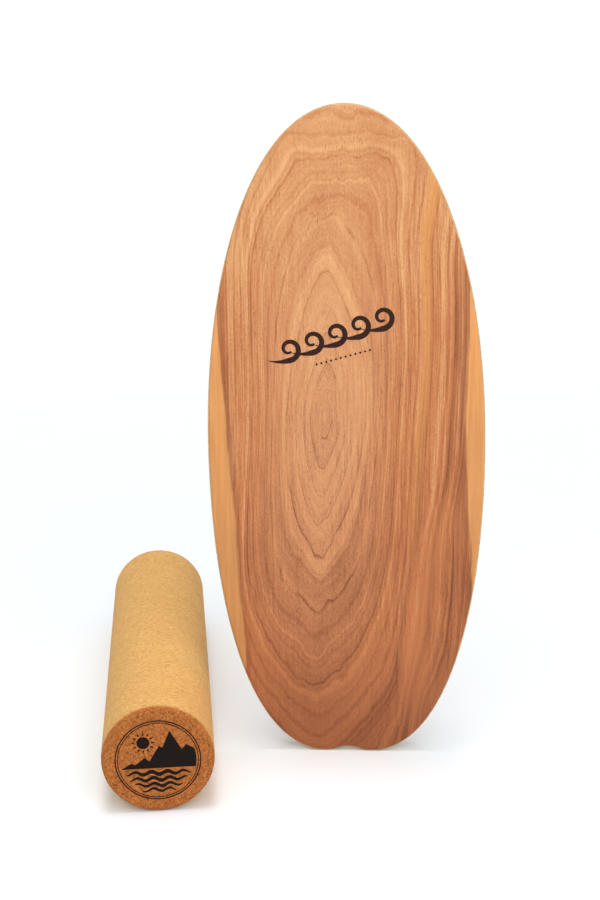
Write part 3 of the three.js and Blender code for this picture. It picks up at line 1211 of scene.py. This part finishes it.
@dataclass
class Stop:
    """A slotted beech bar across the underside, with a ribbed rubber bumper along one side."""

    end: End
    corner: float = 9.0
    edge: float = 2.0
    slot_radius: float = 3.5
    recess_radius: float = 7.75
    recess_depth: float = 5.0
    mouth_ease: float = 0.5
    travel: float = 14.0
    slot_spacing: float = 100.0
    bumper_corner: float = 2.0
    rib_pitch: float = 3.0
    rib_share: float = 0.3
    rib_height: float = 0.6
    rib_sink: float = 0.5
    rounding_steps: int = 5
    rubber_steps: int = 6

    def __post_init__(self) -> None:
        """Works out the name of the stop's body."""
        self.body = f"{self.end.name.lower()}_stop"

    def bar(self, material: Material) -> Thing:
        """Builds the slotted bar, with all its edges rounded over.

        Args:
            material: Its finish.

        Returns:
            The bar.
        """
        low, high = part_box(f"{self.body}_bar")
        centre = (low + high) / 2
        centre.y = low.y
        width, height, depth = ((high - low)[i] / MM for i in (0, 2, 1))
        outline = rounded_rectangle(width, height, self.corner)
        near = round_over(self.edge, self.rounding_steps)
        far = [(cut, depth - d) for cut, d in reversed(near)]
        solid = Solid(facing_y(centre))
        rim = [solid.loop(inset(outline, cut), d) for cut, d in near + far]
        solid.walls(rim)
        floor, ease = depth - self.recess_depth, self.mouth_ease
        mouths: list[list[Loop]] = [[], []]
        for side in (-1, 1):
            spot = (side * self.slot_spacing / 2, 0.0)
            narrow, wide, eased = (
                slot(radius, self.travel, spot)
                for radius in (self.slot_radius, self.recess_radius, self.recess_radius + ease)
            )
            through = [solid.loop(narrow, 0.0), solid.loop(narrow, floor)]
            recess = [solid.loop(wide, floor), solid.loop(wide, depth - ease), solid.loop(eased, depth)]
            solid.walls(through)
            solid.walls(recess)
            solid.cap(recess[0], through[1])
            mouths[0].append(through[0])
            mouths[1].append(recess[2])
        solid.cap(rim[0], *mouths[0])
        solid.cap(rim[-1], *mouths[1])
        node = f"{self.body}_bar"
        return enlist(solid.finish(f"{node}_skin", material), self.body, "stop_beech", node)

    def bumper(self, material: Material, repeat: RepeatTree) -> list[Thing]:
        """Builds the rubber strip and the ribs across it.

        Args:
            material: Its finish.
            repeat: The tree that repeats the ribs.

        Returns:
            The strip and its ribs.
        """
        node = f"{self.body}_bumper"
        low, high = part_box(node)
        length, height, depth = (side / MM for side in high - low)
        # w runs along X here, u along Y, and v along Z away from the bar
        inward = self.end.value
        base = Vector((low.x, (low.y + high.y) / 2, low.z if inward > 0 else high.z))
        axes = Matrix(((0, 0, MM, 0), (MM, 0, 0, 0), (0, inward * MM, 0, 0), (0, 0, 0, 1)))
        place = Matrix.Translation(base) @ axes
        body, corner, steps = depth - self.rib_height, self.bumper_corner, self.rubber_steps
        reach = height / 2 - corner
        section = [(height / 2, 0.0)]
        for side, start in ((1, 0.0), (-1, QUARTER)):
            section += arc((corner, corner), start, QUARTER, steps, (side * reach, body - corner))
        section.append((-height / 2, 0.0))
        solid = Solid(place)
        solid.prism(section, 0.0, length)
        strip = enlist(solid.finish(f"{node}_strip", material), self.body, "bumper_rubber", node)

        half = self.rib_pitch * self.rib_share
        foot = body - self.rib_sink
        crown = arc((half, self.rib_height), 0.0, math.pi, steps, (0.0, body))
        profile = [*crown, (-half, foot), (half, foot)]
        count = int((length - 2 * self.rib_pitch) / self.rib_pitch)
        start = (length - (count - 1) * self.rib_pitch) / 2
        rib = Solid(place @ Matrix(((0, 0, 1, 0), (0, 1, 0, 0), (1, 0, 0, start), (0, 0, 0, 1))))
        rib.prism(profile, -reach, reach, smooth=True)
        ribs = rib.finish(f"{node}_ribs", material)
        repeat.spread(ribs, (count, Vector((self.rib_pitch * MM, 0, 0))))
        return [strip, enlist(ribs, self.body, "bumper_rubber")]


@dataclass
class Fastenings:
    """Four M6 button-head screws with washers, in threaded brass inserts."""

    shank_radius: float = 3.0
    tip_chamfer: float = 0.5
    thread_depth: float = 0.4
    thread_pitch: float = 1.0
    thread_root: float = 0.05
    thread_crest: float = 0.5
    head_radius: float = 5.25
    head_height: float = 3.3
    head_chamfer: Point = (0.2, 0.25)
    crown_share: float = 0.45
    crown_steps: int = 8
    socket_width: float = 4.0
    socket_depth: float = 2.0
    socket_mouth: Point = (1.06, 0.12)
    washer_bore: float = 3.2
    washer_edge: float = 0.3
    sides: int = 48

    def __post_init__(self) -> None:
        """Reads the grid of screws from the frame."""
        self.first = self._middle("tail_left_screw")
        self.across = self._middle("tail_right_screw") - self.first
        self.up = self._middle("nose_left_screw") - self.first

    @staticmethod
    def _middle(node: str) -> Vector:
        """The middle of a node's inner end, in metres."""
        low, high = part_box(node)
        return Vector(((low.x + high.x) / 2, low.y, (low.z + high.z) / 2))

    def _grid(self, solid: Solid, kind: str, material: Material, repeat: RepeatTree) -> Thing:
        """Repeats a unit at all four places and lets it stand for the four CAD nodes.

        Args:
            solid: The unit at the lower left.
            kind: What it is, as in its CAD node's name.
            material: Its finish.
            repeat: The tree that repeats it.

        Returns:
            All four as one piece.
        """
        unit = solid.finish(f"stop_{kind}s", material)
        repeat.spread(unit, (2, self.across), (2, self.up))
        nodes = [f"{end}_{side}_{kind}" for end in ("nose", "tail") for side in ("left", "right")]
        return enlist(unit, "deck", "fastener_steel", *nodes)

    def screws(self, material: Material, repeat: RepeatTree) -> Thing:
        """Builds the screws: threaded shank, domed head and hexagon socket.

        Args:
            material: Their finish.
            repeat: The tree that repeats the screw.

        Returns:
            All four screws as one piece.
        """
        low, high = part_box("tail_left_screw")
        total = (high.y - low.y) / MM
        shank = total - self.head_height
        rings = [(self.shank_radius - self.tip_chamfer, 0.0)]
        for thread in range(int(shank / self.thread_pitch)):
            for radius, height in (
                (self.shank_radius - self.thread_depth, self.thread_root),
                (self.shank_radius, self.thread_crest),
            ):
                rings.append((radius, (thread + height) * self.thread_pitch))
        cut, rise = self.head_chamfer
        rings += [(self.shank_radius, shank), (self.head_radius - cut, shank)]
        rings.append((self.head_radius, shank + rise))
        flat = self.crown_share
        for step in range(1, self.crown_steps + 1):
            turn = QUARTER * step / self.crown_steps
            rings.append((
                self.head_radius * (flat + (1 - flat) * math.cos(turn)),
                shank + rise + (self.head_height - rise) * math.sin(turn),
            ))
        solid = Solid(facing_y(self.first))
        loops = [solid.loop(circle(radius, self.sides), depth) for radius, depth in rings]
        hexagon = []
        for u, v in circle(self.socket_width / 2, self.sides):
            turn = math.atan2(v, u) % (math.pi / 3) - math.pi / 6
            hexagon.append((u / math.cos(turn), v / math.cos(turn)))
        wider, drop = self.socket_mouth
        loops.append(solid.loop([(wider * u, wider * v) for u, v in hexagon], total))
        loops.append(solid.loop(hexagon, total - drop))
        loops.append(solid.loop(hexagon, total - self.socket_depth))
        solid.walls(loops, smooth=False)
        solid.cap(loops[0])
        solid.cap(loops[-1])
        return self._grid(solid, "screw", material, repeat)

    def washers(self, material: Material, repeat: RepeatTree) -> Thing:
        """Builds the washers, with their edges broken.

        Args:
            material: Their finish.
            repeat: The tree that repeats the washer.

        Returns:
            All four washers as one piece.
        """
        low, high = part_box("tail_left_washer")
        radius, thickness = (high.x - low.x) / 2 / MM, (high.y - low.y) / MM
        bore, edge = self.washer_bore, self.washer_edge
        solid = Solid(facing_y(Vector((self.first.x, low.y, self.first.z))))
        profile = (
            (bore, edge), (bore, thickness - edge), (bore + edge, thickness), (radius - edge, thickness),
            (radius, thickness - edge), (radius, edge), (radius - edge, 0.0), (bore + edge, 0.0),
        )
        loops = [solid.loop(circle(r, self.sides), depth) for r, depth in profile]
        solid.walls([*loops, loops[0]], smooth=False)
        return self._grid(solid, "washer", material, repeat)

    @staticmethod
    def dress_inserts(material: Material) -> int:
        """Gives the four CAD inserts their finish.

        Args:
            material: Their finish.

        Returns:
            How many there are.
        """
        names = [name for name in frame["nodes"] if name.endswith("_insert")]
        for name in names:
            data = frame["nodes"][name].data
            data.materials.clear()
            data.materials.append(material)
        return len(names)


# ---------------------------------------------------------------- roller


@dataclass
class Roller:
    """The solid cork roller, lying on the floor on its side."""

    radius: float = 60.0
    length: float = 510.0
    edge: float = 5.0
    sides: int = 240
    rings: int = 190
    end_rings: int = 14
    edge_steps: int = 8
    roughness_height: float = 0.22
    granule: float = 3.2
    granule_flattening: float = 2.5

    def __post_init__(self) -> None:
        """Reads the roller's axis from its joint."""
        joint = next(j for j in frame["joints"] if j["child"] == "roller")
        self.centre = Vector(joint["pos_m"])
        self.axis = Vector(joint["axis"]).normalized()
        self.turn = math.atan2(-self.axis.x, self.axis.y)

    def place(self) -> Matrix:
        """Lays the drawing axes: u level across the roller, v up, w along it, from its centre.

        Returns:
            What carries a drawing point into the frame.
        """
        u = Vector((self.axis.y, -self.axis.x, 0))
        columns = (u, Vector((0, 0, 1)), self.axis)
        turned = Matrix([[MM * column[row] for column in columns] for row in range(3)])
        return Matrix.Translation(self.centre) @ turned.to_4x4()

    def build(self) -> Thing:
        """Builds and dresses the roller, with the slight unevenness of sanded cork.

        Returns:
            The roller.
        """
        half, face = self.length / 2, self.radius - self.edge
        stations = [(face * ring / self.end_rings, -half) for ring in range(1, self.end_rings + 1)]
        for step in range(1, self.edge_steps + 1):
            turn = QUARTER * step / self.edge_steps
            stations.append((face + self.edge * math.sin(turn), -half + self.edge * (1 - math.cos(turn))))
        flank = [
            (self.radius, -half + self.edge + (self.length - 2 * self.edge) * i / self.rings)
            for i in range(1, self.rings)
        ]
        stations += [*flank, *((r, -w) for r, w in reversed(stations))]
        solid = Solid(self.place())
        loops = [solid.loop(circle(radius, self.sides), along) for radius, along in stations]
        solid.walls(loops)
        solid.cap(loops[0])
        solid.cap(loops[-1])
        self._roughen(solid)
        piece = solid.finish("cork_roller_body", PressedCork().make(self.centre, self.turn, half))
        return enlist(piece, "roller", "cork", "cork_roller")

    def _roughen(self, solid: Solid) -> None:
        """Sinks the surface by up to roughness_height in a granular pattern, never outwards.

        Args:
            solid: The roller's mesh.
        """
        place = self.place()
        inverse = place.inverted()
        sink_u, sink_w = self.roughness_height / self.radius, self.roughness_height / (self.length / 2)
        for vertex in solid.mesh.verts:
            u, v, w = inverse @ vertex.co
            spot = Vector((u / self.granule, v / self.granule, w / self.granule * self.granule_flattening))
            depth = 0.5 + 0.5 * noise.noise(spot)
            side, end = 1 - sink_u * depth, 1 - sink_w * depth
            vertex.co = place @ Vector((u * side, v * side, w * end))


# ---------------------------------------------------------------- printed ornaments


@dataclass
class WaveMark:
    """A generic ornament on the deck: a rising row of curling waves over a row of diamonds."""

    centre: Point = (-10.0, 487.0)
    waves: int = 5
    pitch: float = 25.0
    slope: float = 0.34
    curl: float = 12.5
    turns: float = 1.12
    closing: Point = (0.74, 0.9)
    thickness: float = 6.4
    thinning: float = 0.62
    steps: int = 44
    tail_share: float = 0.3
    tail_length: float = 1.9
    tail_dip: float = 1.5
    tail_width: tuple[float, float, float] = (0.06, 0.94, 1.2)
    diamonds: int = 12
    diamond_pitch: float = 5.2
    diamond_size: float = 1.5
    diamond_slope: float = 0.8
    diamond_offset: Point = (8.0, -26.0)
    proud: float = 0.05
    sunk: float = 0.05
    layer: float = 0.008

    def _wave(self) -> list[Point]:
        """Draws one wave: a thin tail that thickens, rises and curls over to a ball.

        Returns:
            Its outline.
        """
        thinnest, growth, power = self.tail_width
        closing, easing = self.closing
        spine, widths = [], []
        for i in range(self.steps + 1):
            t = i / self.steps
            if t < self.tail_share:
                k = t / self.tail_share
                dip = self.tail_dip * math.sin(math.pi * k)
                spine.append((-self.curl * self.tail_length * (1 - k), -self.curl - dip))
                widths.append(self.thickness * (thinnest + growth * k**power))
            else:
                k = (t - self.tail_share) / (1 - self.tail_share)
                turn = -QUARTER + math.tau * self.turns * k
                reach = self.curl * (1 - closing * k**easing)
                spine.append((reach * math.cos(turn), reach * math.sin(turn)))
                widths.append(self.thickness * (1 - self.thinning * k))
        left, right = [], []
        for i, (u, v) in enumerate(spine):
            a, b = spine[max(i - 1, 0)], spine[min(i + 1, self.steps)]
            du, dv = b[0] - a[0], b[1] - a[1]
            length = math.hypot(du, dv)
            nu, nv = -dv / length * widths[i] / 2, du / length * widths[i] / 2
            left.append((u + nu, v + nv))
            right.append((u - nu, v - nv))
        return right + left[::-1]

    def build(self, deck: Deck, material: Material, repeat: RepeatTree) -> list[Thing]:
        """Builds both rows on the deck's top face.

        Args:
            deck: The deck it is printed on.
            material: The ink.
            repeat: The tree that repeats the wave and the diamond.

        Returns:
            The row of waves and the row of diamonds.
        """
        face = -deck.half_thickness
        below = (self.centre[0] + self.diamond_offset[0], self.centre[1] + self.diamond_offset[1])
        rows = (
            ("deck_wave_ornament", self._wave(), self.waves, self.pitch, self.centre, 1.0),
            ("deck_diamond_ornament", circle(self.diamond_size, 4), self.diamonds, self.diamond_pitch,
             below, self.diamond_slope),
        )
        made = []
        for name, outline, count, pitch, middle, steepness in rows:
            back = (count - 1) / 2
            rise = self.slope * steepness * pitch
            start = (middle[0] - back * pitch, middle[1] - back * rise)
            solid = Solid(facing_y(deck.centre))
            moved = [(u + start[0], v + start[1]) for u, v in outline]
            solid.prism(moved, face + self.sunk, face - self.proud)
            row = solid.finish(name, material)
            # each print lies a hair over the last one, so that overlapping tails share no plane
            repeat.spread(row, (count, Vector((pitch, -self.layer, rise)) * MM))
            made.append(enlist(row, "deck"))
        return made


@dataclass
class LandscapeMark:
    """A generic ornament on the roller's end: two rings round a sun, mountains and waves."""

    outer_radius: float = 45.5
    outer_line: float = 1.3
    ring_gap: float = 1.3
    inner_line: float = 0.9
    clearance: float = 1.6
    sun: Point = (-15.0, 20.5)
    sun_radius: float = 6.8
    sun_sides: int = 48
    rays: int = 12
    ray_gap: float = 2.0
    ray_length: float = 4.2
    ray_spread: float = 0.13
    waterline: float = -9.0
    range_top: float = 17.0
    range_steps: int = 12
    ridge: tuple[Point, ...] = (
        (30.0, 17.0), (25.5, 11.5), (13.0, 33.0), (5.0, 14.0), (1.5, 16.5),
        (-9.0, -1.0), (-14.0, 3.5), (-24.0, -4.5), (-28.0, -2.5),
    )
    bands: tuple[Point, ...] = ((-14.5, 4.6), (-21.5, 4.2), (-28.0, 3.8), (-34.0, 3.0))
    band_margin: float = 3.5
    band_steps: int = 48
    ripple: float = 1.7
    ripple_length: float = 17.0
    band_end: float = 0.12
    proud: float = 0.05
    sunk: float = 0.4
    sides: int = 128

    def _print(self, roller: Roller, name: str, shapes: Sequence[list[list[Point]]], ink: Material) -> Thing:
        """Builds flat shapes on the near end.

        Args:
            roller: The roller.
            name: The piece's name.
            shapes: Each an outline with any holes after it.
            ink: The finish.

        Returns:
            The print.
        """
        solid = Solid(roller.place())
        face = -roller.length / 2
        for shape in shapes:
            backs = [solid.loop(outline, face + self.sunk) for outline in shape]
            fronts = [solid.loop(outline, face - self.proud) for outline in shape]
            for back, front in zip(backs, fronts):
                solid.walls([back, front], smooth=False)
            solid.cap(*backs)
            solid.cap(*fronts)
        return enlist(solid.finish(name, ink), "roller")

    def _rings(self) -> list[list[list[Point]]]:
        """Draws the two thin rings.

        Returns:
            Each ring as its outer and inner circle.
        """
        middle = self.outer_radius - self.outer_line
        inner = middle - self.ring_gap
        pairs = ((self.outer_radius, middle), (inner, inner - self.inner_line))
        return [[circle(radius, self.sides) for radius in pair] for pair in pairs]

    def _mountains(self, radius: float) -> list[Point]:
        """Draws a mountain range standing on a waterline, cut off by the ring.

        Args:
            radius: The radius that it is cut off at.

        Returns:
            The outline.
        """
        right = math.sqrt(radius**2 - self.waterline**2)
        low = math.atan2(self.waterline, right)
        shore = arc((radius, radius), low, math.radians(self.range_top) - low, self.range_steps)
        return [*shore, *self.ridge, (-right, self.waterline)]

    def _wave_band(self, radius: float, top: float, thickness: float) -> list[Point]:
        """Draws a wavy band across the ring, thinner at its ends.

        Args:
            radius: The radius that it stays inside.
            top: Its height above the ring's centre.
            thickness: How thick it is in the middle.

        Returns:
            The outline.
        """
        reach = math.sqrt(radius**2 - top**2) - self.band_margin
        upper, lower = [], []
        for i in range(self.band_steps + 1):
            u = -reach + 2 * reach * i / self.band_steps
            middle = top + self.ripple * math.sin(math.tau * u / self.ripple_length + top)
            swell = max(0.0, math.cos(QUARTER * u / reach)) ** 0.5 if abs(u) < reach else 0.0
            half = thickness * (self.band_end + (1 - self.band_end) * swell) / 2
            upper.append((u, middle + half))
            lower.append((u, middle - half))
        return lower + upper[::-1]

    def _sun(self) -> list[list[list[Point]]]:
        """Draws the sun's disc and its rays.

        Returns:
            Each as an outline by itself.
        """
        u, v = self.sun
        shapes = [[circle(self.sun_radius, self.sun_sides, self.sun)]]
        near, spread = self.sun_radius + self.ray_gap, self.ray_spread
        for ray in range(self.rays):
            turn = math.tau * ray / self.rays
            corners = ((near, turn - spread), (near + self.ray_length, turn), (near, turn + spread))
            shapes.append([[(u + r * math.cos(t), v + r * math.sin(t)) for r, t in corners]])
        return shapes

    def build(self, roller: Roller, material: Material) -> list[Thing]:
        """Builds the ornament on the end that faces the front.

        Args:
            roller: The roller it is printed on.
            material: The ink.

        Returns:
            The rings, the sun, and the mountains with their waves.
        """
        inside = self.outer_radius - self.outer_line - self.ring_gap - self.inner_line - self.clearance
        land = [[self._mountains(inside)], *([self._wave_band(inside, *band)] for band in self.bands)]
        return [
            self._print(roller, "roller_ring_ornament", self._rings(), material),
            self._print(roller, "roller_sun_ornament", self._sun(), material),
            self._print(roller, "roller_mountain_ornament", land, material),
        ]


# ---------------------------------------------------------------- studio


@dataclass(frozen=True)
class Sun:
    """A far light: its strength, its angular width, and its tilt from overhead, in degrees."""

    name: str
    strength: float
    width: float
    tilt: float = 0.0
    turn: float = 0.0


@dataclass(frozen=True)
class Box:
    """A near square light: its place and aim in metres, its side in metres, and its watts."""

    name: str
    place: Size
    aim: Size
    side: float
    power: float


@dataclass
class Studio:
    """White floor, soft light and the camera."""

    floor_reach: float = 40.0
    horizon: float = 0.23
    zenith: float = 0.55
    backdrop: float = 1.05
    suns: tuple[Sun, ...] = (Sun("front_light", 1.1, 72.0, 32.0, 5.0), Sun("overhead_light", 0.98, 17.0))
    boxes: tuple[Box, ...] = (
        Box("front_box", (0.9, -1.9, 1.2), (0.0, -0.1, 0.2), 1.8, 13.5),
        Box("back_box", (-0.6, 1.5, 1.9), (0.05, 0.0, 0.4), 1.2, 1.5),
    )
    camera_place: Size = (0.1441, -1.6916, 0.7918)
    heading: float = 3.778
    pitch: float = 15.248
    roll: float = -0.972
    lens: float = 60.57

    def floor(self) -> None:
        """Lays the floor under the object."""
        reach = self.floor_reach
        data = bpy.data.meshes.new("studio_floor")
        corners = [(-reach, -reach, 0), (reach, -reach, 0), (reach, reach, 0), (-reach, reach, 0)]
        data.from_pydata(corners, [], [(0, 1, 2, 3)])
        data.materials.append(StudioPaper().make())
        show("studio_floor", data)

    def world(self) -> None:
        """Lights the scene softly from all round, most from overhead, before a white background."""
        world = bpy.data.worlds.new("studio_sky")
        world.use_nodes = True
        tree = world.node_tree
        tree.nodes.clear()
        direction = tree.nodes.new("ShaderNodeTexCoord").outputs["Generated"]
        up = add(tree, "ShaderNodeSeparateXYZ", {0: direction}).node.outputs["Z"]
        strength = remap(tree, up, wanted=(self.horizon, self.zenith))
        soft = add(tree, "ShaderNodeBackground", {"Color": WHITE, "Strength": strength})
        white = add(tree, "ShaderNodeBackground", {"Color": WHITE, "Strength": self.backdrop})
        seen = tree.nodes.new("ShaderNodeLightPath").outputs["Is Camera Ray"]
        both = add(tree, "ShaderNodeMixShader", {0: seen, 1: soft, 2: white})
        add(tree, "ShaderNodeOutputWorld", {"Surface": both})
        bpy.context.scene.world = world

    def lights(self) -> None:
        """Hangs a wide light high in front, a narrower one straight above, and two nearer boxes."""
        for sun in self.suns:
            data = bpy.data.lights.new(sun.name, "SUN")
            data.energy = sun.strength
            data.angle = math.radians(sun.width)
            show(sun.name, data).rotation_euler = (math.radians(sun.tilt), math.radians(sun.turn), 0)
        for box in self.boxes:
            data = bpy.data.lights.new(box.name, "AREA")
            data.shape = "SQUARE"
            data.size = box.side
            data.energy = box.power
            lamp = show(box.name, data)
            lamp.location = box.place
            lamp.rotation_mode = "QUATERNION"
            lamp.rotation_quaternion = (Vector(box.aim) - Vector(box.place)).to_track_quat("-Z", "Y")

    def camera(self) -> None:
        """Places the camera and makes it the scene's."""
        data = bpy.data.cameras.new("camera")
        data.lens = self.lens
        camera = show("camera", data)
        camera.location = self.camera_place
        heading, pitch, roll = (math.radians(a) for a in (self.heading, self.pitch, self.roll))
        turned = (
            Matrix.Rotation(heading, 3, "Z")
            @ Matrix.Rotation(QUARTER - pitch, 3, "X")
            @ Matrix.Rotation(roll, 3, "Z")
        )
        camera.rotation_mode = "QUATERNION"
        camera.rotation_quaternion = turned.to_quaternion()
        bpy.context.scene.camera = camera

    def build(self) -> None:
        """Builds the whole studio, with colours shown as they are."""
        self.floor()
        self.world()
        self.lights()
        self.camera()
        bpy.context.scene.view_settings.view_transform = "Standard"


def main() -> None:
    """Builds every sub-assembly in order."""
    logging.basicConfig(level=logging.INFO, format="%(name)s: %(message)s")
    repeat = RepeatTree()
    deck = Deck()
    pieces = deck.build()
    beech, rubber = OiledBeech().make(), MouldedRubber().make()
    for end in End:
        stop = Stop(end)
        pieces.append(stop.bar(beech))
        pieces += stop.bumper(rubber, repeat)
    fastenings = Fastenings()
    steel = TurnedMetal("zinc_plated_steel", "#d5d8dc", "#a9adb3", 0.32).make()
    pieces.append(fastenings.screws(steel, repeat))
    pieces.append(fastenings.washers(steel, repeat))
    brass = TurnedMetal("machined_brass", "#dcb45c", "#b58a3a", 0.34).make()
    LOG.info("dressed %d inserts", fastenings.dress_inserts(brass))
    roller = Roller()
    pieces.append(roller.build())
    pieces += WaveMark().build(deck, PrintedInk("deck_print_ink", "#331c17", "#422821").make(), repeat)
    pieces += LandscapeMark().build(roller, PrintedInk("cork_print_ink", "#130a07", "#24140d").make())
    for piece in pieces:
        LOG.info("%s: %d faces", piece.name, len(piece.data.polygons))
    Studio().build()


if __name__ == "__main__":
    main()
